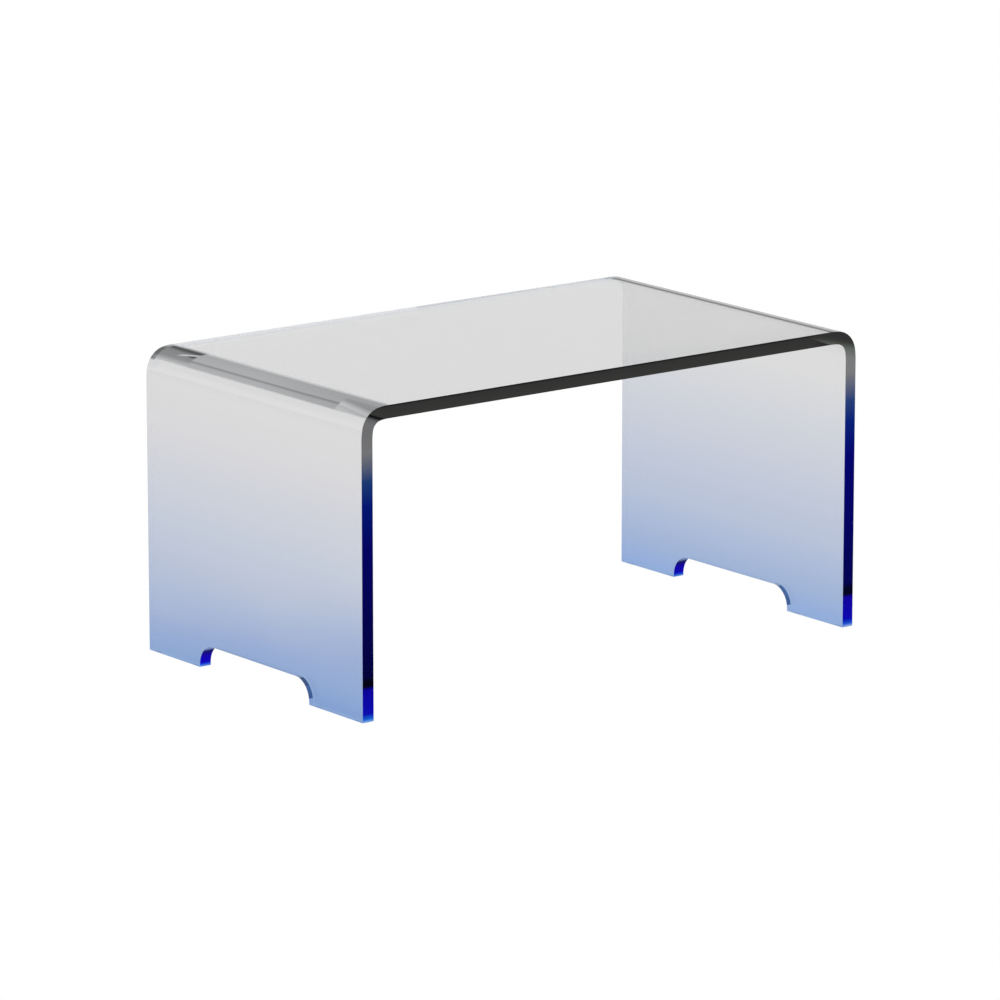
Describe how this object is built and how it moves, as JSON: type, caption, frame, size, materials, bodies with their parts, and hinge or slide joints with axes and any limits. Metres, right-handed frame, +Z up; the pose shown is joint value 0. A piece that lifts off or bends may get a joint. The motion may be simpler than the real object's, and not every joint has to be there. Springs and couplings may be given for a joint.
{
  "type": "waterfall coffee table",
  "caption": "Low table bent from a clear grey acrylic sheet that fades to blue down the legs, with a low arch cut into each leg and clear bumper pads under the feet.",
  "frame": {"origin": "on the floor, under the middle of the table", "axes": "+X along the table's length towards its right leg, +Y from the front edge to the back edge, +Z up"},
  "size_m": [0.9, 0.52, 0.45],
  "materials": {
    "gradient_acrylic": "transparent cast acrylic, smoke grey on top fading to blue down the legs, with polished edges",
    "clear_pad": "clear soft stick-on bumper"
  },
  "bodies": {
    "root": {"bent_sheet": "gradient_acrylic", "foot_pad_left_front_outer": "clear_pad", "foot_pad_left_front_inner": "clear_pad", "foot_pad_left_back_outer": "clear_pad", "foot_pad_left_back_inner": "clear_pad", "foot_pad_right_front_outer": "clear_pad", "foot_pad_right_front_inner": "clear_pad", "foot_pad_right_back_outer": "clear_pad", "foot_pad_right_back_inner": "clear_pad"}
  },
  "joints": []
}
